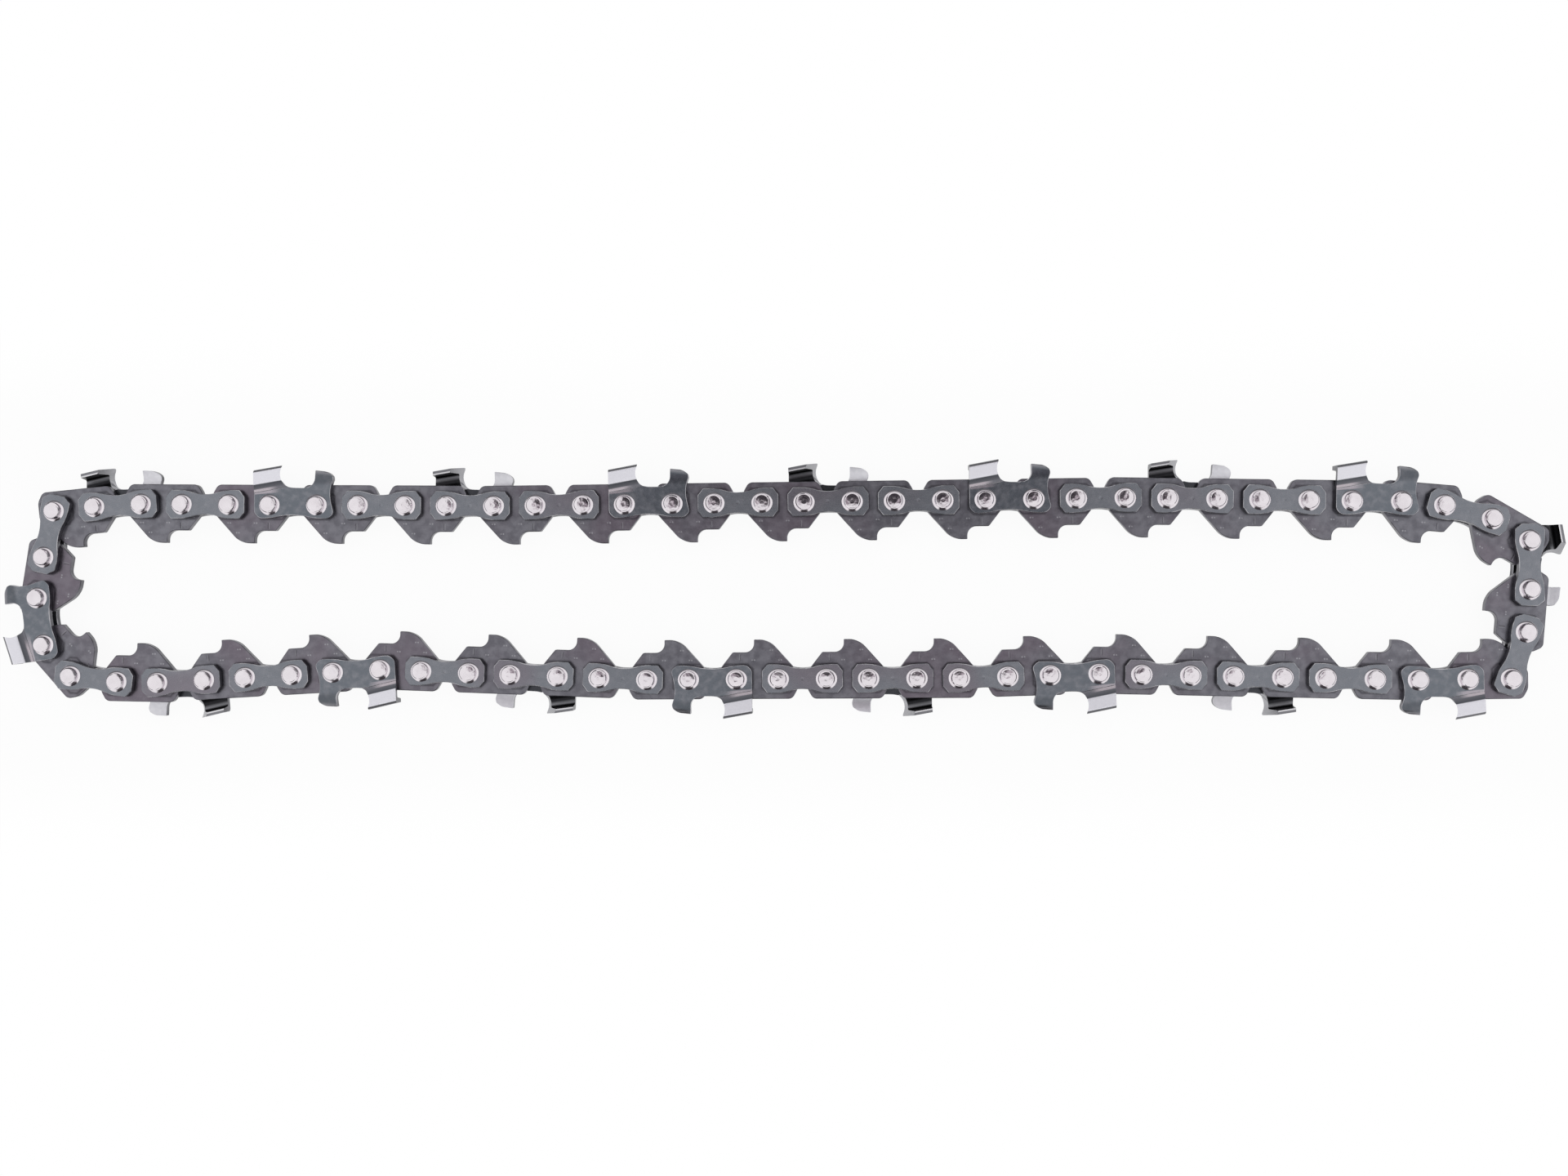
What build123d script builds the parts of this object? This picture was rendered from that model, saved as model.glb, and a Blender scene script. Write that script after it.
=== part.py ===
from build123d import *
import os
from math import atan2, cos, degrees, radians, sin, tan

# A saw chain loop for a small pruning saw, lying on its side as it is laid out for sale.
# X runs along the loop, Y across it and Z up out of the table. All sizes are in millimetres.
# Each link is drawn in its own frame: x the way the chain travels, y out of the loop, and
# z = 0 in the middle of its thickness, with its rivets on the line y = 0.

# Chain: two rivet spacings take turns, and together they are twice the pitch of 6.35
drive_link_count = 36
drive_spacing = 5.92
side_spacing = 6.78

# Thicknesses, from the middle of the chain outwards
drive_thickness = 1.1
side_play = 0.05
plate_thickness = 1.0
head_height = 0.9

# Rivet heads, with few sides because there are so many of them
head_diameter = 3.1
head_taper = 22
head_sides = 8

# Drive link: a flat top, two flanks, and a hooked tang that runs in the guide bar's groove
drive_length = 11.35
drive_top = 2.9
drive_top_length = 9.75
drive_shoulder = 1.5
drive_flank = 0.95
heel_depth = 3.7
heel_reach = 3.55
tang_depth = 5.5
tang_tip = 0.5
tang_back = 1.6
hook_radius = 1.3
hook_facets = 4
nose_radius = 2.9
nose_facets = 3

# Tie strap: two eyes with cut corners and a waist between them
eye_reach = 2.31
eye_height = 4.1
eye_cut_along = 0.8
eye_cut_across = 0.95
eye_inside = 0.55
waist_height = 2.95
waist_length = 2.4

# Cutter: a side plate like a strap, with a depth gauge in front and a folded tooth behind
cutter_tail = 2.21
cutter_nose = 2.46
cutter_foot = 1.95
cutter_foot_cut = 0.75
cutter_waist = 1.45
front_hollow = 0.5
front_hollow_foot = 0.9
gullet_height = 2.4
gauge_height = 4.95
gauge_width = 2.75
gauge_slope = 0.35
gauge_root_radius = 1.7
gauge_root_facets = 3
tooth_height = 4.88
tooth_relief = 10
tooth_set = 2.1
tooth_thickness = 0.8
tooth_bend = 0.45
top_plate_width = 2.6
bend_foot = 1.9
bend_rise = 0.8
file_diameter = 4.0
file_sides = 16
file_ahead = 0.3
file_below_top = 0.48
file_angle = 30

# Lay of the loop, clockwise from its top left corner: links in a row and their heading in degrees
top_run = [(1, 5.5), (1, 3), (8, -0.5), (14, 0.5), (6, -1), (1, -5)]
right_end = [(1, -16), (1, -30), (1, -88.5), (1, -93.5), (1, -106)]
bottom_run = [(2, -179), (7, -181), (3, -178), (7, -179.5), (6, -182), (5, -176.5), (1, -181)]
left_end = [(1, -187), (1, -229.5), (1, -263.5), (1, -280.5), (1, -284.5)]
longest_stretch = 3
closing_steps = 6

# Sizes that follow from those above
plate_inner = drive_thickness / 2 + side_play
plate_outer = plate_inner + plate_thickness
middle_height = max(plate_outer + head_height, tooth_set)
link_count = 2 * drive_link_count


def faceted_arc(centre_x, centre_y, radius, start, end, facets):
    """Points along an arc from one angle to another, in degrees."""
    angles = [radians(start + (end - start) * step / facets) for step in range(facets + 1)]
    return [(centre_x + radius * cos(angle), centre_y + radius * sin(angle)) for angle in angles]


# The lay
def spread_links():
    """Heading of every link: what the lists above don't hold goes into the longest two stretches."""
    runs = [list(top_run), right_end, list(bottom_run), left_end]
    spare = link_count - sum(count for run in runs for count, heading in run)
    for run, share in ((runs[0], spare // 2), (runs[2], spare - spare // 2)):
        count, heading = run[longest_stretch]
        run[longest_stretch] = (count + share, heading)
    return [radians(heading) for run in runs for count, heading in run for link in range(count)]


def close_loop(headings, spacings):
    """Turn every link as little as it takes for the last rivet to meet the first."""
    for step in range(closing_steps):
        turns = [(-s * sin(h), s * cos(h)) for h, s in zip(headings, spacings)]
        gap_x = sum(s * cos(h) for h, s in zip(headings, spacings))
        gap_y = sum(s * sin(h) for h, s in zip(headings, spacings))
        xx = sum(x * x for x, y in turns)
        xy = sum(x * y for x, y in turns)
        yy = sum(y * y for x, y in turns)
        pull_x = (xy * gap_y - yy * gap_x) / (xx * yy - xy * xy)
        pull_y = (xy * gap_x - xx * gap_y) / (xx * yy - xy * xy)
        headings = [h + x * pull_x + y * pull_y for h, (x, y) in zip(headings, turns)]
    return headings


spacings = [drive_spacing, side_spacing] * drive_link_count
rivet_points = [Vector(0, 0)]
link_places = []
for heading, spacing in zip(close_loop(spread_links(), spacings), spacings):
    along = Vector(cos(heading), sin(heading)) * spacing
    link_places.append(Location(rivet_points[-1] + along / 2, (0, 0, degrees(heading))))
    rivet_points.append(rivet_points[-1] + along)
rivet_points.pop()

# Drive link
drive_half = drive_length / 2
flank_slope = degrees(atan2(tang_depth - drive_flank, drive_half - tang_back))
nose_start = -tang_back + nose_radius * tan(radians(flank_slope / 2))
hook = faceted_arc(
    tang_tip + hook_radius, -heel_depth - hook_radius, hook_radius, 90, 180, hook_facets
)
nose = faceted_arc(
    nose_start, nose_radius - tang_depth, nose_radius, 270, 270 - flank_slope, nose_facets
)
with BuildPart() as drive_link_form:
    with BuildSketch():
        with BuildLine():
            Polyline(
                *hook,
                (tang_tip, -tang_depth),
                *nose,
                (-drive_half, -drive_flank),
                (-drive_half, drive_shoulder),
                (-drive_top_length / 2, drive_top),
                (drive_top_length / 2, drive_top),
                (drive_half, drive_shoulder),
                (drive_half, -drive_flank),
                (heel_reach, -heel_depth),
                close=True,
            )
        make_face()
    extrude(amount=drive_thickness / 2, both=True)

# Tie strap, on the near side
strap_half = side_spacing / 2 + eye_reach
with BuildPart() as near_strap_form:
    with BuildSketch(Plane.XY.offset(plate_inner)):
        with BuildLine():
            Polyline(
                (0, waist_height / 2),
                (waist_length / 2, waist_height / 2),
                (side_spacing / 2 - eye_inside, eye_height / 2),
                (strap_half - eye_cut_along, eye_height / 2),
                (strap_half, eye_height / 2 - eye_cut_across),
                (strap_half, 0),
            )
            mirror(about=Plane.XZ)
            mirror(about=Plane.YZ)
        make_face()
    extrude(amount=plate_thickness)

# Cutter, on the near side: the folded tooth, hollowed by the round file, and then its side plate
tail = -side_spacing / 2 - cutter_tail
front = side_spacing / 2 + cutter_nose
gauge_back = front - gauge_width
relief = tan(radians(tooth_relief))
tooth_reach = file_ahead - file_diameter / 4 - tail
gauge_root = faceted_arc(
    gauge_back - gauge_root_radius,
    gullet_height + gauge_root_radius,
    gauge_root_radius,
    -90,
    0,
    gauge_root_facets,
)
with BuildPart() as near_cutter_form:
    with BuildSketch(Plane.YZ.offset(tail)):
        with BuildLine():
            Polyline(
                (bend_foot - plate_thickness / 2, plate_inner),
                (bend_foot, plate_inner),
                (bend_foot + bend_rise, tooth_set - tooth_thickness),
                (tooth_height - tooth_thickness, tooth_set - tooth_thickness),
                (tooth_height - tooth_thickness, tooth_set - top_plate_width),
                (tooth_height, tooth_set - top_plate_width),
                (tooth_height, tooth_set - tooth_bend),
                (tooth_height - tooth_bend, tooth_set),
                (bend_foot + bend_rise, tooth_set),
                (bend_foot, plate_outer),
                (bend_foot - plate_thickness / 2, plate_outer),
                close=True,
            )
        make_face()
    extrude(amount=tooth_reach / cos(radians(tooth_relief)), dir=(1, relief, 0))
    with BuildSketch(Plane.XY.offset(tooth_set)):
        with Locations((file_ahead, tooth_height - file_below_top)):
            RegularPolygon(file_diameter / 2, file_sides)
    extrude(
        amount=(top_plate_width + tooth_set) / cos(radians(file_angle)),
        dir=(-sin(radians(file_angle)), 0, -cos(radians(file_angle))),
        mode=Mode.SUBTRACT,
    )
    with BuildSketch(Plane.XY.offset(plate_inner)):
        with BuildLine():
            Polyline(
                *gauge_root,
                (gauge_back, gauge_height),
                (front - cutter_foot_cut, gauge_height - gauge_slope),
                (front, gullet_height + gauge_root_radius),
                (front - front_hollow, gullet_height),
                (front - front_hollow, front_hollow_foot),
                (front, cutter_foot_cut - cutter_foot),
                (front - cutter_foot_cut, -cutter_foot),
                (side_spacing / 2, -cutter_foot),
                (waist_length / 2, -cutter_waist),
                (-waist_length / 2, -cutter_waist),
                (-side_spacing / 2, -cutter_foot),
                (tail + cutter_foot_cut, -cutter_foot),
                (tail, cutter_foot_cut - cutter_foot),
                (tail, bend_foot),
                (tail + tooth_reach, bend_foot + tooth_reach * relief),
                close=True,
            )
        make_face()
    extrude(amount=plate_thickness)

# The far side's plates are the near side's in a mirror
with BuildPart() as far_strap_form:
    mirror(near_strap_form.part, about=Plane.XY)
with BuildPart() as far_cutter_form:
    mirror(near_cutter_form.part, about=Plane.XY)

# Every second side link carries a cutter, on the far side and on the near side in turn
drive_places = link_places[0::2]
side_places = link_places[1::2]
left_cutter_places = side_places[0::4]
right_cutter_places = side_places[2::4]
near_strap_places = [place for place in side_places if place not in right_cutter_places]
far_strap_places = [place for place in side_places if place not in left_cutter_places]

# The origin is in the middle of the loop, on the table
laid_forms = [(drive_link_form, place) for place in drive_places]
laid_forms += [(far_cutter_form, place) for place in left_cutter_places]
laid_forms += [(near_cutter_form, place) for place in right_cutter_places]
laid_forms += [(near_strap_form, place) for place in side_places]
boxes = [form.part.moved(place).bounding_box() for form, place in laid_forms]
loop_centre = Vector(
    (min(box.min.X for box in boxes) + max(box.max.X for box in boxes)) / 2,
    (min(box.min.Y for box in boxes) + max(box.max.Y for box in boxes)) / 2,
)
on_table = Location((-loop_centre.X, -loop_centre.Y, middle_height))

os.makedirs("parts", exist_ok=True)


def lay_pieces(name, form, places):
    """One node, with a piece of this form at each of the places."""
    with BuildPart() as piece:
        with Locations(*[on_table * place for place in places]):
            add(form.part)
    piece.part.label = name
    export_step(piece.part, f"parts/{name}.step")


for number, place in enumerate(drive_places, start=1):
    lay_pieces(f"drive_link_{number:02d}", drive_link_form, [place])
for number, place in enumerate(left_cutter_places, start=1):
    lay_pieces(f"left_cutter_{number}", far_cutter_form, [place])
for number, place in enumerate(right_cutter_places, start=1):
    lay_pieces(f"right_cutter_{number}", near_cutter_form, [place])
lay_pieces("near_tie_straps", near_strap_form, near_strap_places)
lay_pieces("far_tie_straps", far_strap_form, far_strap_places)

# Rivet heads, on the outer faces of the side plates
with BuildPart() as near_rivet_heads:
    with BuildSketch(Plane.XY.offset(middle_height + plate_outer)):
        with Locations(*[point - loop_centre for point in rivet_points]):
            RegularPolygon(head_diameter / 2, head_sides)
    extrude(amount=head_height, taper=head_taper)
near_rivet_heads.part.label = "near_rivet_heads"
export_step(near_rivet_heads.part, "parts/near_rivet_heads.step")

with BuildPart() as far_rivet_heads:
    mirror(near_rivet_heads.part, about=Plane.XY.offset(middle_height))
far_rivet_heads.part.label = "far_rivet_heads"
export_step(far_rivet_heads.part, "parts/far_rivet_heads.step")
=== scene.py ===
# Finished look of the saw chain loop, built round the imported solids.
# Each link is modelled once in millimetres, in its own frame: u the way the chain travels,
# v out of the loop and w up from the middle of its thickness, with its rivets on the line v = 0.
# Copies of it are then laid on the rivets that the solids have.
from math import pi, radians, sqrt, tan

import bmesh
import bpy
from mathutils import Matrix, Vector


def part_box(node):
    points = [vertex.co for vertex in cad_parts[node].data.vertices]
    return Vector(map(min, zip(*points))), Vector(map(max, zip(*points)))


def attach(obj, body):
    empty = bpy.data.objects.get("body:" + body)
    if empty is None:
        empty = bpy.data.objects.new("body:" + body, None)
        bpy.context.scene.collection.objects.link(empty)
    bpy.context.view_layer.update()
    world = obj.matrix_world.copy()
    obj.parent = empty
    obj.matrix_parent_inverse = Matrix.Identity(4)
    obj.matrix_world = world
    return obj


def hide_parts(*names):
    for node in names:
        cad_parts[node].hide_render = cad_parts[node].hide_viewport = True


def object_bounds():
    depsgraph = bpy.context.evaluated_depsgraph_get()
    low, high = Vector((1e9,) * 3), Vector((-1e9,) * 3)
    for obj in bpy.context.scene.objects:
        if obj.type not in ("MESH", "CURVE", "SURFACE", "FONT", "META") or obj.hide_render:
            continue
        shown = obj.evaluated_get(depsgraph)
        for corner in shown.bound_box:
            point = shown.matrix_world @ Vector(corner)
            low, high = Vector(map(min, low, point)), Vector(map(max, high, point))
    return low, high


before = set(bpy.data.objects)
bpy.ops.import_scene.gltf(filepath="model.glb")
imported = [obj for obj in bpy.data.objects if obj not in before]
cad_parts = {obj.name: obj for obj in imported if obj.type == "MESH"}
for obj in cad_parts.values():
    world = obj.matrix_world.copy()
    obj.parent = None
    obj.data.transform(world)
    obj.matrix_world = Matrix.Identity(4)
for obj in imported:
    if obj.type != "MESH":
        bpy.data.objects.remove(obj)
solid_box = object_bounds()

MILLIMETRE = 0.001


# Places of the links, walked from rivet to rivet
def rivet_centres():
    """Centre of every near rivet head, from left to right."""
    heads = bmesh.new()
    heads.from_mesh(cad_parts["near_rivet_heads"].data)
    bmesh.ops.remove_doubles(heads, verts=heads.verts, dist=1e-6)
    centres = []
    unseen = set(heads.verts)
    while unseen:
        corners = {unseen.pop()}
        rim = set(corners)
        while rim:
            rim = {edge.other_vert(vert) for vert in rim for edge in vert.link_edges} - corners
            corners |= rim
        unseen -= corners
        lowest = [min(vert.co[axis] for vert in corners) for axis in (0, 1)]
        highest = [max(vert.co[axis] for vert in corners) for axis in (0, 1)]
        centres.append((Vector(lowest) + Vector(highest)) / 2)
    heads.free()
    return sorted(centres, key=lambda centre: (centre.x, centre.y))


def walk_rivets():
    """The rivets in travel order, from the tail of the first drive link."""
    waiting = rivet_centres()
    low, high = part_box("drive_link_01")
    inside = [c for c in waiting if low.x < c.x < high.x and low.y < c.y < high.y]
    walked = [inside[0]]
    waiting.remove(inside[0])
    while waiting:
        nearest = min(waiting, key=lambda centre: (centre - walked[-1]).length)
        walked.append(nearest)
        waiting.remove(nearest)
    return walked


def heights(node):
    """Lowest and highest point of a solid above the table, in millimetres."""
    low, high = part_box(node)
    return low.z / MILLIMETRE, high.z / MILLIMETRE


rivets = walk_rivets()
drive_low, drive_high = heights("drive_link_01")
strap_low, strap_high = heights("near_tie_straps")
head_low, head_high = heights("near_rivet_heads")
cutter_low, cutter_high = heights("right_cutter_1")

drive_spacing = (rivets[1] - rivets[0]).length / MILLIMETRE
side_spacing = (rivets[2] - rivets[1]).length / MILLIMETRE
middle_height = (drive_low + drive_high) / 2
drive_thickness = drive_high - drive_low
plate_thickness = strap_high - strap_low
plate_inner = strap_low - middle_height
plate_outer = strap_high - middle_height
head_height = head_high - head_low
tooth_set = cutter_high - middle_height
top_plate_end = cutter_low - middle_height


def laid(point, along):
    """Place of a piece whose middle is over this point and that heads this way."""
    turn = Matrix(((along.x, -along.y, 0), (along.y, along.x, 0), (0, 0, 1))).to_4x4()
    over = Vector((point.x, point.y, middle_height * MILLIMETRE))
    return Matrix.Translation(over) @ turn @ Matrix.Scale(MILLIMETRE, 4)


link_places = []
rivet_places = []
for here, ahead in zip(rivets, rivets[1:] + rivets[:1]):
    heading = (ahead - here).normalized()
    link_places.append(laid((here + ahead) / 2, heading))
    rivet_places.append(laid(here, heading))
drive_places = link_places[0::2]
side_places = link_places[1::2]
left_cutter_places = side_places[0::4]
right_cutter_places = side_places[2::4]
near_strap_places = [place for number, place in enumerate(side_places) if number % 4 != 2]
far_strap_places = [place for number, place in enumerate(side_places) if number % 4 != 0]

# Sizes of the drive link, in millimetres
drive_half = 5.675
drive_top = 2.9
drive_top_half = 4.875
drive_shoulder = 1.5
drive_flank = -0.95
heel_reach = 3.55
heel_level = -3.7
tang_tip = 0.5
tang_back = -1.6
tang_level = -5.5
drive_rim = 0.1
dimple_places = ((-3.2, -2.6), (0.6, -2.6), (-1.97, -4.0))
dimple_half = 0.17
stroke_place = 2.46
stroke_level = -3.0
stroke_glint = 2.57

# Sizes of the tie strap
eye_reach = 2.31
strap_half = side_spacing / 2 + eye_reach
strap_tab = 0.2
strap_tab_half = 1.12
eye_half_height = 2.05
eye_cut = 0.75
eye_inside = 0.55
eye_start = side_spacing / 2 - eye_inside
waist_half_height = 1.46
waist_half = 1.0
strap_rim = 0.08

# Sizes of the cutter
tail_reach = 2.21
nose_reach = 2.46
tail = -side_spacing / 2 - tail_reach
nose = side_spacing / 2 + nose_reach
foot_level = -1.95
foot_cut = 0.75
cutter_waist = -1.45
nose_hollow = 0.5
nose_hollow_foot = 0.9
gullet_lead = 0.45
gullet_drop = 0.12
gullet_end = 1.3
gullet_level = 2.4
gauge_width = 2.75
gauge_back = nose - gauge_width
gauge_root_rise = 0.1
gauge_top = 4.95
gauge_crown = 0.7
gauge_crown_drop = 0.22
gauge_shoulder_drop = 1.1
gauge_bend = 2.75
gauge_lean = 0.36
gauge_cuts = (3.2, 3.6, 4.0, 4.3, 4.6)
tooth_relief = tan(radians(10))
tooth_foot = 1.7
jog_foot = 1.95
jog_top = 2.85
tooth_top = 4.88
tooth_thickness = 0.8
tooth_lean = 0.16
plate_foot_rise = 0.09
tooth_cuts = (3.2, 3.6, 4.0, 4.35)
top_plate_cuts = (1.2, 0.6, 0.0)
lip_thickness = 0.55
fold_radius = 0.5
file_radius = 2.0
file_ahead = 0.3
file_height = 4.4
file_slope = tan(radians(30))
settle_steps = 12
cutter_rim = 0.07

# Sizes of the rivet head: a low ring, and a peened button in it
ring_radius = 1.5
ring_wall = 0.07
ring_chamfer = 0.08
ring_chamfer_height = 0.07
ring_height = 0.22
groove_edge = 0.04
groove_radius = 1.18
groove_height = 0.19
button_radius = 1.16
button_wall = 0.77 * head_height
button_top = 1.05
button_dome = 0.04
crown_radius = 0.55 * button_top
crown_drop = 0.2 * button_dome
head_sides = 28

# Edges that turn less than this, in degrees, shade smoothly
plate_smooth_turn = 20
head_smooth_turn = 25

# A face looks along an axis when its normal has this much of it
facing = 0.9

# Finishes of a piece's faces, by their place in its list of materials
FACE, RIM, WALL, CHROME, FILED, LIP, INSIDE, GAUGE = range(8)


# Shaping
def flat_outline(corners):
    """A flat face with these corners, each a place, the length that its rounding takes and its steps."""
    sheet = bmesh.new()
    verts = [sheet.verts.new((u, v, 0)) for u, v, rounding, steps in corners]
    sheet.faces.new(verts)
    for vert, (u, v, rounding, steps) in zip(verts, corners):
        if steps:
            bmesh.ops.bevel(
                sheet,
                geom=[vert],
                offset=rounding,
                offset_type="OFFSET",
                segments=steps,
                profile=0.5,
                affect="VERTICES",
                material=-1,
                clamp_overlap=True,
            )
    return sheet


def thicken(sheet, travel):
    """Extrude a flat face into a closed body."""
    made = bmesh.ops.extrude_face_region(sheet, geom=list(sheet.faces))
    moved = [part for part in made["geom"] if isinstance(part, bmesh.types.BMVert)]
    bmesh.ops.translate(sheet, vec=travel, verts=moved)
    bmesh.ops.recalc_face_normals(sheet, faces=sheet.faces)


def cut_across(body, place, normal):
    """Put a row of edges where this plane crosses the body."""
    everything = body.verts[:] + body.edges[:] + body.faces[:]
    bmesh.ops.bisect_plane(body, geom=everything, plane_co=place, plane_no=normal)


def round_rim(body, edges, width, finish):
    """Round these edges and give the rounding a finish of its own."""
    made = bmesh.ops.bevel(
        body,
        geom=list(edges),
        offset=width,
        offset_type="OFFSET",
        segments=2,
        profile=0.5,
        affect="EDGES",
        material=-1,
        clamp_overlap=True,
    )
    for face in made["faces"]:
        face.material_index = finish


def stamped_plate(corners, low, thickness, rim):
    """A stamped plate with rounded rims on both faces."""
    plate = flat_outline(corners)
    bmesh.ops.translate(plate, vec=(0, 0, low), verts=plate.verts)
    thicken(plate, (0, 0, thickness))
    rims = {edge for face in plate.faces if abs(face.normal.z) > facing for edge in face.edges}
    for face in plate.faces:
        face.material_index = FACE if abs(face.normal.z) > facing else WALL
    round_rim(plate, rims, rim, RIM)
    return plate


def put_in_order(parts, place):
    """Number these parts by their place, because some operators leave them in another order each run."""
    for number, part in enumerate(sorted(parts, key=place)):
        part.index = number
    parts.sort()


def to_mesh(body, name, smooth_turn=plate_smooth_turn):
    """The body as a mesh whose edges shade smoothly where they turn less than this."""
    for face in body.faces:
        face.smooth = True
    put_in_order(body.verts, lambda vert: vert.co[:])
    put_in_order(body.faces, lambda face: face.calc_center_median()[:])
    mesh = bpy.data.meshes.new(name)
    body.to_mesh(mesh)
    body.free()
    mesh.set_sharp_from_angle(angle=radians(smooth_turn))
    return mesh


def mirrored(mesh, name, smooth_turn=plate_smooth_turn):
    """The far side's form: the near side's in a mirror."""
    body = bmesh.new()
    body.from_mesh(mesh)
    bmesh.ops.scale(body, vec=(1, 1, -1), verts=body.verts)
    bmesh.ops.recalc_face_normals(body, faces=body.faces)
    return to_mesh(body, name, smooth_turn)


# Drive link
def drive_link_form():
    """A flat top, two flanks, and a tang with a hooked front and a round back."""
    corners = [
        (tang_tip, heel_level, 1.3, 8),
        (tang_tip, tang_level, 0.08, 2),
        (tang_back, tang_level, 1.29, 7),
        (-drive_half, drive_flank, 0.3, 3),
        (-drive_half, drive_shoulder, 0.4, 3),
        (-drive_top_half, drive_top, 0.5, 4),
        (drive_top_half, drive_top, 0.5, 4),
        (drive_half, drive_shoulder, 0.4, 3),
        (drive_half, drive_flank, 0.3, 3),
        (heel_reach, heel_level, 0.12, 2),
    ]
    plate = stamped_plate(corners, -drive_thickness / 2, drive_thickness, drive_rim)
    return to_mesh(plate, "drive_link_form")


# Tie strap
def near_strap_form():
    """Two eyes with cut corners and a short tab at each end, and a waist between them."""
    quarter = [
        (waist_half, waist_half_height, 0.8, 4),
        (eye_start, eye_half_height, 0.9, 4),
        (strap_half - eye_cut, eye_half_height, 0.12, 2),
        (strap_half - strap_tab, strap_tab_half + strap_tab, 0.05, 1),
        (strap_half, strap_tab_half, 0.08, 1),
    ]
    right = quarter + [(u, -v, *rounding) for u, v, *rounding in reversed(quarter)]
    left = [(-u, -v, *rounding) for u, v, *rounding in right]
    plate = stamped_plate(right + left, plate_inner, plate_thickness, strap_rim)
    return to_mesh(plate, "near_strap_form")


# Cutter
def filed_front(v, w):
    """How far forward the tooth reaches here, where the slanting round file has hollowed it."""
    hollow = sqrt(max(file_radius**2 - (v - file_height) ** 2, 0))
    return file_ahead - (tooth_set - w) * file_slope - hollow


def settle_front(v_at_tail, w):
    """Place on the filed hollow of the line that starts at the tail and rises with the relief."""
    v = v_at_tail - tail * tooth_relief
    for step in range(settle_steps):
        u = filed_front(v, w)
        v = v_at_tail + (u - tail) * tooth_relief
    return u, v


def cutter_plate():
    """Side plate with the depth gauge, whose tip leans over the drive links."""
    joint_u, joint_v = settle_front(tooth_foot, plate_outer)
    corners = [
        (tail, tooth_foot, 0, 0),
        (joint_u, joint_v, 0, 0),
        (joint_u + gullet_lead, joint_v - gullet_drop, 0.4, 3),
        (gullet_end, gullet_level, 0.5, 3),
        (gauge_back, gullet_level + gauge_root_rise, 1.45, 7),
        (gauge_back, gauge_top, 0.1, 2),
        (nose - gauge_crown, gauge_top - gauge_crown_drop, 0.7, 5),
        (nose, gauge_top - gauge_shoulder_drop, 0.5, 4),
        (nose - nose_hollow, gullet_level, 0.6, 4),
        (nose - nose_hollow, nose_hollow_foot, 0.6, 4),
        (nose, foot_level + foot_cut, 0.35, 3),
        (nose - foot_cut, foot_level, 0.35, 3),
        (side_spacing / 2, foot_level, 0.8, 4),
        (waist_half, cutter_waist, 0.8, 4),
        (-waist_half, cutter_waist, 0.8, 4),
        (-side_spacing / 2, foot_level, 0.8, 4),
        (tail + foot_cut, foot_level, 0.35, 3),
        (tail, foot_level + foot_cut, 0.35, 3),
    ]
    plate = stamped_plate(corners, plate_inner, plate_thickness, cutter_rim)
    for level in (gauge_bend, *gauge_cuts):
        cut_across(plate, (0, level, 0), (0, 1, 0))
    for face in plate.faces:
        if face.normal.z < -facing and face.calc_center_median().y > gauge_bend:
            face.material_index = GAUGE
    for vert in plate.verts:
        over = max(vert.co.y - gauge_bend, 0) / (gauge_top - gauge_bend)
        vert.co.z -= gauge_lean * over**2
    return plate


def cutter_tooth():
    """The tooth: bent outwards from the side plate, folded over at its top and hollowed by the file."""
    section = [
        (tooth_foot, plate_inner, 0, 0),
        (jog_foot, plate_inner, 0.2, 3),
        (jog_top, tooth_set - tooth_lean - tooth_thickness, 0.2, 3),
        (tooth_top - tooth_thickness, tooth_set - tooth_thickness, 0.25, 3),
        (tooth_top - lip_thickness, top_plate_end, 0, 0),
        (tooth_top, top_plate_end, 0, 0),
        (tooth_top, tooth_set, fold_radius, 5),
        (jog_top, tooth_set - tooth_lean, 0.14, 3),
        (jog_foot, plate_outer, 0.24, 3),
        (tooth_foot, plate_outer, 0, 0),
    ]
    tooth = flat_outline(section)
    # The section is drawn flat, so it is stood up across the travel, at the tail
    stand = Matrix(((0, 0, 1, tail), (1, 0, 0, 0), (0, 1, 0, 0), (0, 0, 0, 1)))
    bmesh.ops.transform(tooth, matrix=stand, verts=tooth.verts)
    reach = -tail
    thicken(tooth, (reach, reach * tooth_relief, 0))
    for level in tooth_cuts:
        cut_across(tooth, (tail, level, 0), (-tooth_relief, 1, 0))
    for height in top_plate_cuts:
        cut_across(tooth, (0, 0, height), (0, 0, 1))
    front = [vert for vert in tooth.verts if vert.co.x > tail + reach / 2]
    for face in tooth.faces:
        if face.normal.x > facing:
            face.material_index = FILED
        elif face.normal.x < -facing:
            face.material_index = WALL
        elif face.normal.z > 0.1 or face.normal.y > 0.6:
            face.material_index = CHROME
        elif face.normal.z < -facing and face.calc_center_median().z < plate_inner / 2:
            face.material_index = LIP
        else:
            face.material_index = INSIDE
    for vert in front:
        u, v = settle_front(vert.co.y - (vert.co.x - tail) * tooth_relief, vert.co.z)
        vert.co.x, vert.co.y = u, v
    bmesh.ops.triangulate(tooth, faces=[face for face in tooth.faces if len(face.verts) > 4])
    return tooth


def near_cutter_form():
    """Side plate and tooth as one piece."""
    plate = cutter_plate()
    tooth = to_mesh(cutter_tooth(), "tooth_form")
    plate.from_mesh(tooth)
    return to_mesh(plate, "near_cutter_form")


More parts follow.
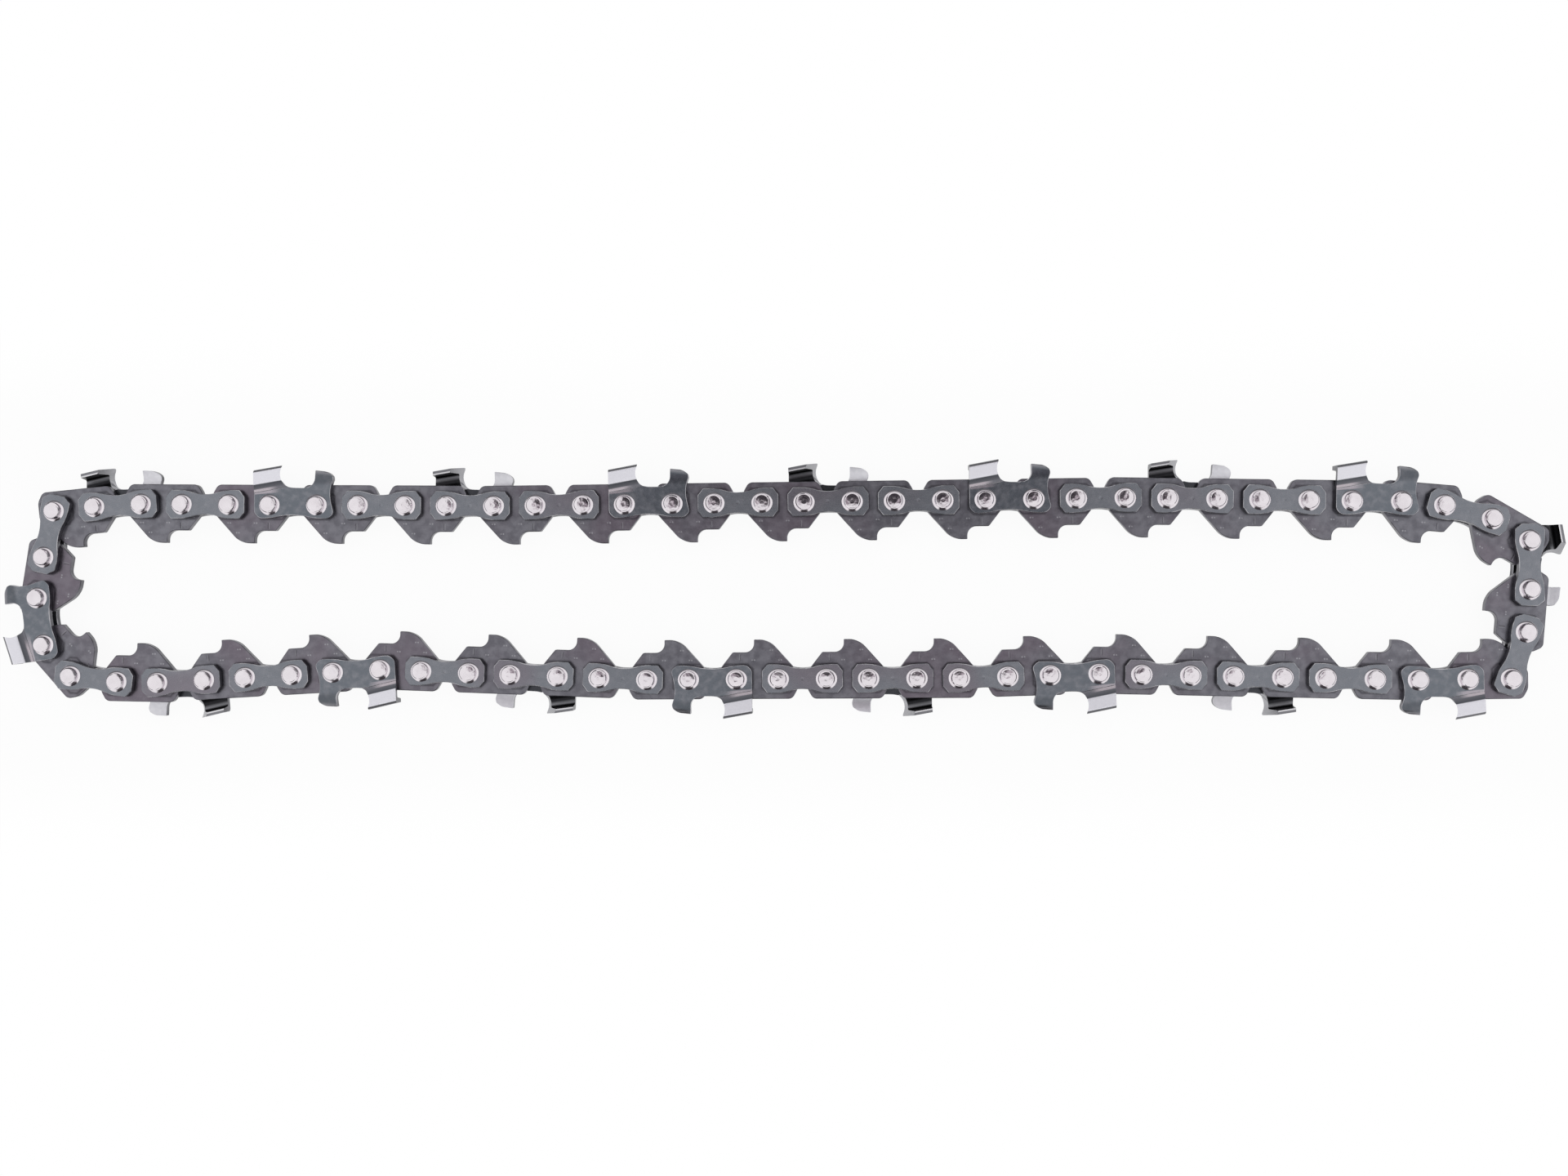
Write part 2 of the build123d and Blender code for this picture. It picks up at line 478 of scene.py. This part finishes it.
# Rivet head
def near_head_form():
    """A low ring and the peened button that stands in it, turned round the rivet's axis."""
    profile = [
        (0, 0),
        (ring_radius, 0),
        (ring_radius, ring_wall),
        (ring_radius - ring_chamfer, ring_wall + ring_chamfer_height),
        (groove_radius + groove_edge, ring_height),
        (groove_radius, groove_height),
        (button_radius, button_wall),
        (button_top, head_height - button_dome),
        (crown_radius, head_height - crown_drop),
        (0, head_height),
    ]
    head = bmesh.new()
    verts = [head.verts.new((radius, 0, plate_outer + height)) for radius, height in profile]
    edges = [head.edges.new(pair) for pair in zip(verts, verts[1:])]
    bmesh.ops.spin(
        head,
        geom=verts + edges,
        cent=(0, 0, 0),
        axis=(0, 0, 1),
        angle=2 * pi,
        steps=head_sides,
        use_merge=True,
    )
    bmesh.ops.remove_doubles(head, verts=head.verts, dist=1e-4)
    bmesh.ops.recalc_face_normals(head, faces=head.faces)
    return to_mesh(head, "near_head_form", head_smooth_turn)


# Finishes
class Value:
    """A shader socket that Python expressions can work with."""

    def __init__(self, finish, socket):
        self.finish = finish
        self.socket = socket

    def maths(self, operation, first, second):
        sockets = {"Value": first, "Value_001": second}
        return self.finish.node("ShaderNodeMath", {"operation": operation}, sockets, "Value")

    def __add__(self, other):
        return self.maths("ADD", self, other)

    def __sub__(self, other):
        return self.maths("SUBTRACT", self, other)

    def __mul__(self, other):
        return self.maths("MULTIPLY", self, other)

    def __truediv__(self, other):
        return self.maths("DIVIDE", self, other)

    def __pow__(self, other):
        return self.maths("POWER", self, other)

    def __rsub__(self, other):
        return self.maths("SUBTRACT", other, self)

    __radd__ = __add__
    __rmul__ = __mul__

    def at_least(self, other):
        return self.maths("MAXIMUM", self, other)

    def at_most(self, other):
        return self.maths("MINIMUM", self, other)

    def size(self):
        return self.maths("ABSOLUTE", self, 0)

    def step_between(self, low, high):
        """0 below low, 1 above high and a soft step between."""
        settings = {"interpolation_type": "SMOOTHSTEP"}
        sockets = {"Value": self, "From Min": low, "From Max": high}
        return self.finish.node("ShaderNodeMapRange", settings, sockets, "Result")

    def fade_between(self, low, high):
        """1 below low, 0 above high and a soft step between."""
        return 1 - self.step_between(low, high)


class Finish:
    """The nodes of one material or of the world."""

    def __init__(self, owner):
        owner.use_nodes = True
        self.tree = owner.node_tree
        self.tree.nodes.clear()

    def node(self, kind, settings=None, sockets=None, output=None):
        """Add a node: its settings first, then values or links for its sockets."""
        node = self.tree.nodes.new(kind)
        for name, setting in (settings or {}).items():
            setattr(node, name, setting)
        for name, value in (sockets or {}).items():
            socket = next(socket for socket in node.inputs if socket.identifier == name)
            if isinstance(value, Value):
                self.tree.links.new(value.socket, socket)
            elif socket.type == "RGBA" and len(value) == 3:
                socket.default_value = (*value, 1)
            else:
                socket.default_value = value
        if output:
            return Value(self, next(s for s in node.outputs if s.identifier == output))
        return node

    def mix(self, factor, first, second):
        """A colour between two colours."""
        sockets = {"Factor_Float": factor, "A_Color": first, "B_Color": second}
        return self.node("ShaderNodeMix", {"data_type": "RGBA"}, sockets, "Result_Color")

    def split(self, vector, axes="XYZ"):
        """Parts of a vector along these axes."""
        return [self.node("ShaderNodeSeparateXYZ", {}, {"Vector": vector}, axis) for axis in axes]

    def join(self, x, y, z):
        """A vector with these parts."""
        return self.node("ShaderNodeCombineXYZ", {}, {"X": x, "Y": y, "Z": z}, "Vector")

    def link_place(self):
        """Place in the link's own frame, in millimetres: u, v and w as a vector."""
        return self.node("ShaderNodeAttribute", {"attribute_name": "own_place"}, output="Vector")

    def own_number(self):
        """A number from 0 to 1 that every copy has for itself."""
        return self.node("ShaderNodeAttribute", {"attribute_name": "own_number"}, output="Fac")

    def table_place(self):
        """Place on the table, in metres."""
        return self.node("ShaderNodeTexCoord", output="Object")

    def noise(self, vector, scale, detail=2.0, stretch=(1, 1, 1)):
        """Cloudy noise from 0 to 1; its scale counts per metre or millimetre, as its vector does."""
        if stretch != (1, 1, 1):
            vector = self.node("ShaderNodeMapping", {}, {"Vector": vector, "Scale": stretch}, "Vector")
        sockets = {"Vector": vector, "Scale": scale, "Detail": detail}
        return self.node("ShaderNodeTexNoise", {}, sockets, "Fac")

    def bump(self, height, depth):
        """Normal of a surface with this relief, its depth in metres."""
        return self.node("ShaderNodeBump", {}, {"Height": height, "Distance": depth}, "Normal")

    def surface(self, shader):
        """Lead this shader to the end of the tree."""
        of_world = isinstance(self.tree.id_data, bpy.types.World)
        end = "ShaderNodeOutputWorld" if of_world else "ShaderNodeOutputMaterial"
        self.node(end, {}, {"Surface": shader})

    def steel(self, colour, roughness, metallic, normal=None):
        """End the tree in a metal."""
        sockets = {"Base Color": colour, "Roughness": roughness, "Metallic": metallic}
        if normal:
            sockets["Normal"] = normal
        self.surface(self.node("ShaderNodeBsdfPrincipled", {}, sockets, "BSDF"))


def new_material(name):
    """An empty material and its nodes."""
    material = bpy.data.materials.new(name)
    return material, Finish(material)


def distance(u, v, from_u=0.0, from_v=0.0):
    """Distance from a place in a plane."""
    return ((u - from_u) ** 2 + (v - from_v) ** 2) ** 0.5


def tooth_level(u, v):
    """Height on the tooth, measured at its tail: its lines fall towards there with the relief."""
    return v - (u - tail) * tooth_relief


# Colours of the finishes; a pair holds the two ends of a mix
worn_grey = (0.3, 0.3, 0.33)
drive_greys = (0.145, 0.143, 0.165), (0.215, 0.213, 0.24)
drive_brown = (0.175, 0.135, 0.17)
painted_glint_grey = (0.45, 0.45, 0.48)
stroke_dark = (0.04, 0.038, 0.042)
painted_shadow_dark = (0.03, 0.028, 0.035)
strap_blues = (0.188, 0.2, 0.226), (0.232, 0.241, 0.27)
strap_brown = (0.2, 0.145, 0.18)
dot_light = (0.4, 0.4, 0.43)
cutter_blues = (0.136, 0.151, 0.176), (0.176, 0.19, 0.215)
painted_plate_foot_highlight = (0.6, 0.53, 0.58)
painted_gauge_shade = (0.05, 0.055, 0.065)
painted_gauge_tip_highlight = (0.42, 0.41, 0.44)
painted_plate_inside_shade = (0.03, 0.03, 0.034)
chrome_brights = (0.755, 0.75, 0.8), (0.89, 0.885, 0.945)
bend_shade_greys = (0.2, 0.2, 0.225), (0.1, 0.105, 0.12)
painted_tooth_foot_highlight = (0.62, 0.56, 0.6)
painted_fold_shade = (0.12, 0.12, 0.13)
filed_greys = (0.36, 0.36, 0.38), (0.52, 0.52, 0.54)
lip_greys = (0.14, 0.14, 0.155), (0.3, 0.3, 0.32)
lip_bright = (0.74, 0.735, 0.76)
painted_inside_shade = (0.012, 0.012, 0.014), (0.03, 0.03, 0.034)
painted_inside_reflection = (0.26, 0.26, 0.28)
ground_and_reflection_greys = (0.56, 0.555, 0.6), (0.76, 0.755, 0.79)
rivet_brights = (0.7, 0.655, 0.69), (0.84, 0.8, 0.835)
drive_rim_greys = (0.08, 0.077, 0.09), (0.18, 0.175, 0.2)
strap_rim_highlight_greys = (0.17, 0.172, 0.19), (0.55, 0.545, 0.57)
cutter_rim_highlight_greys = (0.28, 0.28, 0.31), (0.62, 0.61, 0.64)
wall_greys = (0.075, 0.074, 0.085), (0.15, 0.147, 0.163)


def drive_link_steel():
    """Hardened grey steel with faint temper tints, three dimples and a stamped stroke, with painted
    glints and a painted shadow round the side plates.
    """
    material, finish = new_material("drive_link_steel")
    u, v, w = finish.split(finish.link_place())
    clouds = finish.noise(finish.table_place(), 90.0, 3.0)
    mottle = finish.noise(finish.table_place(), 900.0, 3.0)
    grain = finish.noise(finish.table_place(), 3600.0, 2.0)
    near_face = w.step_between(drive_thickness / 2 - 0.2, drive_thickness / 2 - 0.1)
    tint = (clouds + finish.own_number() * 0.2).step_between(0.5, 0.8) * 0.5
    colour = finish.mix(mottle.step_between(0.3, 0.7), *drive_greys)
    colour = finish.mix(tint, colour, drive_brown)
    # Painted highlights: a glint on both sides of each dimple, and on one side of the stroke
    pits = glints = 0
    for pit_u, pit_v in dimple_places:
        pits = distance(u, v, pit_u, pit_v).fade_between(0.1, 0.3) + pits
        for side in (-dimple_half, dimple_half):
            glints = distance(u, v, pit_u + side, pit_v).fade_between(0.05, 0.15) + glints
    within_stroke = (v - stroke_level).size().fade_between(0.3, 0.55)
    stroke = (u - stroke_place).size().fade_between(0.0, 0.09) * within_stroke
    glints = (u - stroke_glint).size().fade_between(0.0, 0.09) * within_stroke * 0.6 + glints
    colour = finish.mix(glints * near_face * 0.6, colour, painted_glint_grey)
    colour = finish.mix(stroke * near_face * 0.7, colour, stroke_dark)
    # Painted shadow round the eyes of the side plates, darkening the link where they lie on it
    for rivet_u in (-drive_spacing / 2, drive_spacing / 2):
        along, across = (u - rivet_u).size(), v.size()
        past_eye = (along - eye_reach).at_least(across - eye_half_height)
        past_corner = along + across - eye_reach - eye_half_height + eye_cut
        past_eye = past_eye.at_least(past_corner * 0.7)
        contact_shadow = past_eye.fade_between(0.0, 0.26) * past_eye.step_between(-0.2, -0.1)
        colour = finish.mix(contact_shadow * 0.5, colour, painted_shadow_dark)
    relief = grain * 0.08 + mottle * 0.25 - (pits * 0.12 + stroke * 0.4) * near_face
    finish.steel(colour, 0.25 + mottle * 0.1, 0.95, finish.bump(relief, 0.00005))
    return material


def rim_steel(name, greys):
    """Steel of a stamped edge, rubbed lighter in places."""
    material, finish = new_material(name)
    wear = finish.noise(finish.table_place(), 600.0, 3.0).step_between(0.35, 0.65)
    finish.steel(finish.mix(wear, *greys), 0.3, 0.95)
    return material


def strap_steel():
    """Dark blued steel, satin, with a faint rolled grain and a small punched dot in the waist."""
    material, finish = new_material("strap_steel")
    place = finish.link_place()
    u, v = finish.split(place, "XY")
    clouds = finish.noise(finish.table_place(), 160.0, 2.0)
    mottle = finish.noise(finish.table_place(), 1100.0, 3.0)
    tint = finish.noise(finish.table_place(), 55.0, 1.0).step_between(0.58, 0.7)
    grain = finish.noise(place, 7.0, 3.0, (0.35, 1.6, 1))
    dot = distance(u, v).fade_between(0.1, 0.3)
    colour = finish.mix(clouds, *strap_blues)
    colour = finish.mix(mottle.step_between(0.4, 0.75) * 0.35, colour, worn_grey)
    colour = finish.mix(tint * 0.4, colour, strap_brown)
    colour = finish.mix(dot * 0.1, colour, dot_light)
    relief = grain * 0.03 + mottle * 0.3 - dot * 0.3
    finish.steel(colour, 0.24 + grain * 0.08, 0.92, finish.bump(relief, 0.00003))
    return material


def cutter_plate_steel():
    """The cutter's side plate: dark like the straps, with painted highlights where the bend to the tooth
    begins and on the gauge's tip, and painted shade on the gauge and the inner face.
    """
    material, finish = new_material("cutter_plate_steel")
    u, v, w = finish.split(finish.link_place())
    clouds = finish.noise(finish.table_place(), 130.0, 2.0)
    mottle = finish.noise(finish.table_place(), 1000.0, 3.0)
    colour = finish.mix(clouds, *cutter_blues)
    colour = finish.mix(mottle.step_between(0.4, 0.75) * 0.45, colour, worn_grey)
    # Painted highlight along the plate where the bend to the tooth begins, fading forwards
    foot = (v - (u - tail) * plate_foot_rise).step_between(1.36, 1.5)
    foot = foot * u.fade_between(tail + 2.2, tail + 4.2)
    colour = finish.mix(foot * 0.55, colour, painted_plate_foot_highlight)
    # Painted shade on the depth gauge, and a painted highlight on its tip
    gauge = v.step_between(2.6, 3.4) * u.step_between(1.5, 2.0)
    colour = finish.mix(gauge * 0.45, colour, painted_gauge_shade)
    tip = (v + (u - gauge_back) * 0.12).step_between(gauge_top - 0.7, gauge_top) * gauge
    colour = finish.mix(tip * 0.6, colour, painted_gauge_tip_highlight)
    # Painted shade on the plate's inner face, in the gap beside the drive link
    inner = w.size().fade_between(plate_inner + 0.05, plate_inner + 0.2)
    colour = finish.mix(inner * (1 - gauge) * 0.8, colour, painted_plate_inside_shade)
    finish.steel(colour, 0.2 + mottle * 0.08, 0.94, finish.bump(mottle, 0.000012))
    return material


def tooth_chrome():
    """Bright chrome on the tooth, finely brushed across, that stops at the bend to the side plate; the
    bend has painted shade, its foot a painted highlight and the fold a painted dark band of shade.
    """
    material, finish = new_material("tooth_chrome")
    place = finish.link_place()
    u, v, w = finish.split(place)
    level = tooth_level(u, v)
    # Below the crease the bend is plate steel, painted darker towards the crease as shade
    plated = level.step_between(jog_top - 0.16, jog_top - 0.02)
    bend = level.step_between(tooth_foot, jog_top)
    streaks = finish.noise(place, 16.0, 3.0, (3.0, 0.2, 1))
    bright = finish.mix(streaks, *chrome_brights)
    colour = finish.mix(plated, finish.mix(bend, *bend_shade_greys), bright)
    # Painted highlight where the bend meets the plate, fading forwards
    foot = level.fade_between(jog_foot + 0.05, jog_foot + 0.2)
    foot = foot * u.fade_between(tail + 1.8, tail + 3.6)
    colour = finish.mix(foot * 0.8, colour, painted_tooth_foot_highlight)
    # Painted shade: a dark band along the fold
    fold_start = tooth_set - fold_radius
    fold = level.step_between(tooth_top - 0.42, tooth_top - 0.32)
    fold = fold * w.size().step_between(fold_start - 0.1, fold_start + 0.1)
    colour = finish.mix(fold * 0.85, colour, painted_fold_shade)
    finish.steel(colour, 0.38 + streaks * 0.08, 1.0, finish.bump(streaks, 0.000004))
    return material


def filed_steel():
    """Fresh steel that the file has cut."""
    material, finish = new_material("filed_steel")
    marks = finish.noise(finish.link_place(), 10.0, 3.0, (0.4, 3.0, 0.4))
    colour = finish.mix(marks, *filed_greys)
    finish.steel(colour, 0.34 + marks * 0.1, 1.0, finish.bump(marks, 0.00001))
    return material


def lip_steel():
    """The edge of the top plate, bright along its inner side."""
    material, finish = new_material("top_plate_lip")
    place = finish.link_place()
    level = tooth_level(*finish.split(place, "XY"))
    marks = finish.noise(place, 10.0, 3.0, (0.4, 3.0, 0.4))
    outer = level.step_between(tooth_top - 0.42, tooth_top - 0.3)
    colour = finish.mix(outer, lip_bright, finish.mix(marks, *lip_greys))
    finish.steel(colour, 0.34, 1.0)
    return material


def inner_steel():
    """The inside of the tooth, painted near-black as shade, with a painted reflection in a lighter band
    below the fold.
    """
    material, finish = new_material("tooth_inside")
    place = finish.link_place()
    level = tooth_level(*finish.split(place, "XY"))
    clouds = finish.noise(place, 2.0, 3.0)
    band = level.step_between(3.2, 3.7) * level.fade_between(3.7, 3.95)
    colour = finish.mix(band * 0.7, finish.mix(clouds, *painted_inside_shade), painted_inside_reflection)
    finish.steel(colour, 0.3, 0.9)
    return material


def gauge_inside():
    """The inner face of the depth gauge: ground steel, painted bright as a reflection of the white tent.
    """
    material, finish = new_material("gauge_inside")
    clouds = finish.noise(finish.link_place(), 1.4, 3.0)
    finish.steel(finish.mix(clouds, *ground_and_reflection_greys), 0.32, 1.0)
    return material


def rivet_steel():
    """Bright peened steel with spin marks from the riveting tool and a small dimple."""
    material, finish = new_material("rivet_steel")
    u, v = finish.split(finish.link_place(), "XY")
    number = finish.own_number()
    from_axis = distance(u, v)
    # Every head has blotches and rings of its own
    blotches = finish.noise(finish.join(u, v, number * 40), 0.9, 2.0)
    rings = finish.noise(finish.join(from_axis, number * 25, blotches * 0.6), 4.0, 1.0)
    dimple = from_axis.fade_between(0.1, 0.4)
    on_top = from_axis.fade_between(button_top - 0.1, button_top)
    relief = (rings * 0.06 + blotches * 0.8 - dimple * 0.16) * on_top
    colour = finish.mix(blotches, *rivet_brights)
    finish.steel(colour, 0.06 + rings * 0.12, 1.0, finish.bump(relief, 0.00005))
    return material


# Pieces; a copy's own number comes from its place by these factors
number_per_x = 61.7
number_per_y = 37.3


def finish_pieces(node, form, places, materials):
    """Lay copies of a form as one piece that stands for a solid of the frame."""
    name = f"finished_{node}"
    body = bmesh.new()
    for place in places:
        first = len(body.verts)
        body.from_mesh(form)
        body.verts.ensure_lookup_table()
        bmesh.ops.transform(body, matrix=place, verts=body.verts[first:])
    mesh = bpy.data.meshes.new(name)
    body.to_mesh(mesh)
    body.free()
    own_place = [coordinate for place in places for vert in form.vertices for coordinate in vert.co]
    mesh.attributes.new("own_place", "FLOAT_VECTOR", "POINT").data.foreach_set("vector", own_place)
    own_number = []
    for place in places:
        number = (place.translation.x * number_per_x + place.translation.y * number_per_y) % 1
        own_number += [number] * len(form.vertices)
    mesh.attributes.new("own_number", "FLOAT", "POINT").data.foreach_set("value", own_number)
    for material in materials:
        mesh.materials.append(material)
    piece = bpy.data.objects.new(name, mesh)
    bpy.context.scene.collection.objects.link(piece)
    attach(piece, "root")
    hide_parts(node)


drive_rim_finish = rim_steel("drive_link_rim", drive_rim_greys)
# The straps' and cutters' rims are lighter than their faces: worn bare, and painted as highlights along
# the rounded edges
strap_rim_finish = rim_steel("strap_rim", strap_rim_highlight_greys)
cutter_rim_finish = rim_steel("cutter_rim", cutter_rim_highlight_greys)
wall_finish = rim_steel("stamped_wall", wall_greys)
drive_finishes = [drive_link_steel(), drive_rim_finish, wall_finish]
strap_finishes = [strap_steel(), strap_rim_finish, wall_finish]
cutter_finishes = [cutter_plate_steel(), cutter_rim_finish, wall_finish, tooth_chrome()]
cutter_finishes += [filed_steel(), lip_steel(), inner_steel(), gauge_inside()]
head_finishes = [rivet_steel()]

drive_link = drive_link_form()
near_strap = near_strap_form()
near_cutter = near_cutter_form()
near_head = near_head_form()
far_strap = mirrored(near_strap, "far_strap_form")
far_cutter = mirrored(near_cutter, "far_cutter_form")
far_head = mirrored(near_head, "far_head_form", head_smooth_turn)

for number, place in enumerate(drive_places, start=1):
    finish_pieces(f"drive_link_{number:02d}", drive_link, [place], drive_finishes)
for number, place in enumerate(left_cutter_places, start=1):
    finish_pieces(f"left_cutter_{number}", far_cutter, [place], cutter_finishes)
for number, place in enumerate(right_cutter_places, start=1):
    finish_pieces(f"right_cutter_{number}", near_cutter, [place], cutter_finishes)
finish_pieces("near_tie_straps", near_strap, near_strap_places, strap_finishes)
finish_pieces("far_tie_straps", far_strap, far_strap_places, strap_finishes)
finish_pieces("near_rivet_heads", near_head, rivet_places, head_finishes)
finish_pieces("far_rivet_heads", far_head, rivet_places, head_finishes)

# Table, its sizes in metres
table_size = 6.0
shadow_end = (0.005, 0.02)
shadow_share = 0.07
white = (1, 1, 1)
paper_white = (0.97, 0.97, 0.97)


def white_table():
    """White to the camera and in reflections, with a faint soft shadow close to the chain."""
    material, finish = new_material("white_table")
    seen = 0
    for ray in ("Is Camera Ray", "Is Glossy Ray", "Is Transmission Ray"):
        seen = finish.node("ShaderNodeLightPath", output=ray) + seen
    x, y = finish.split(finish.table_place(), "XY")
    beside = (x.size() - solid_box[1].x).at_least(y.size() - solid_box[1].y)
    shaded = beside.fade_between(*shadow_end)
    paper = finish.node("ShaderNodeBsdfDiffuse", {}, {"Color": paper_white}, "BSDF")
    glow = finish.node("ShaderNodeEmission", {}, {"Color": white, "Strength": 1.0}, "Emission")
    share = seen.at_most(1) * (1 - shaded * shadow_share)
    both = {"Fac": share, "Shader": paper, "Shader_001": glow}
    finish.surface(finish.node("ShaderNodeMixShader", {}, both, "Shader"))
    return material


table = bmesh.new()
bmesh.ops.create_grid(table, x_segments=1, y_segments=1, size=table_size / 2)
table_mesh = bpy.data.meshes.new("table")
table.to_mesh(table_mesh)
table.free()
table_mesh.materials.append(white_table())
table_piece = bpy.data.objects.new("table", table_mesh)
bpy.context.scene.collection.objects.link(table_piece)

# A white tent: soft light from all sides, an opening overhead with a dark core, a dark gap on the
# near side and a dim low rim. Places in it are slopes: how far sideways for each step up. Every edge
# is soft, from its first number to its second.
flattest_up = 0.05
opening_side = (0.15, 0.22)
opening_near = (-0.04, 0.03)
opening_far = (0.42, 0.62)
opening_colour = (0.35, 0.28, 0.33)
core_place = 0.155
core_half_width = 0.19
core_half_length = 0.145
core_edge = (0.8, 1.1)
core_colour = (0.035, 0.03, 0.037)
lens_place = 0.035
lens_edge = (0.02, 0.075)
lens_colour = (0.04, 0.036, 0.042)
gap_side = (0.3, 0.55)
gap_near = (-0.8, -0.5)
gap_steepest = -0.05
gap_colour = (0.05, 0.045, 0.05)
rim_bottom = 0.65
rim_top = 0.85
rim_everywhere = 0.12
rim_colour = (0.16, 0.16, 0.17)

world = bpy.data.worlds.new("white_tent")
bpy.context.scene.world = world
tent = Finish(world)
east, north, up = tent.split(tent.node("ShaderNodeTexCoord", output="Generated"))
above = up.at_least(flattest_up)
slope_x, slope_y = east / above, north / above
opening = slope_x.size().fade_between(*opening_side) * slope_y.step_between(*opening_near)
opening = opening * slope_y.fade_between(*opening_far)
core_x, core_y = slope_x / core_half_width, (slope_y - core_place) / core_half_length
core = distance(core_x, core_y).fade_between(*core_edge)
lens = distance(slope_x, slope_y, 0, lens_place).fade_between(*lens_edge)
gap_turn = (slope_x / slope_y.at_most(gap_steepest)).size()
near_gap = gap_turn.fade_between(*gap_side) * slope_y.fade_between(*gap_near)
northern = north.at_least(0)
low_rim = up.fade_between(northern * rim_bottom, northern * rim_top + rim_everywhere)
cloth = tent.mix(low_rim, white, rim_colour)
cloth = tent.mix(near_gap, cloth, gap_colour)
cloth = tent.mix(opening, cloth, opening_colour)
cloth = tent.mix(core, cloth, core_colour)
cloth = tent.mix(lens, cloth, lens_colour)
tent_light = tent.mix(tent.node("ShaderNodeLightPath", output="Is Camera Ray"), cloth, white)
tent.surface(tent.node("ShaderNodeBackground", {}, {"Color": tent_light, "Strength": 1.0}, "Background"))

# The camera looks down from above the loop, a little right of its middle
camera_right = 0.0108
camera_north = 0.000315
camera_height = 0.235
camera_tilt = 2.2
camera_turn = -0.034
camera_lens = 37.69

camera_data = bpy.data.cameras.new("camera")
camera_data.sensor_fit = "HORIZONTAL"
camera_data.sensor_width = 36
camera_data.lens = camera_lens
camera_data.clip_start = 0.01
camera_data.clip_end = 20
camera = bpy.data.objects.new("camera", camera_data)
rivet_middle = sum(rivets, Vector((0, 0))) / len(rivets)
camera.location = (rivet_middle.x + camera_right, rivet_middle.y + camera_north, camera_height)
camera.rotation_euler = (0, radians(camera_tilt), radians(camera_turn))
bpy.context.scene.collection.objects.link(camera)
bpy.context.scene.camera = camera

bpy.context.scene.view_settings.view_transform = "Standard"
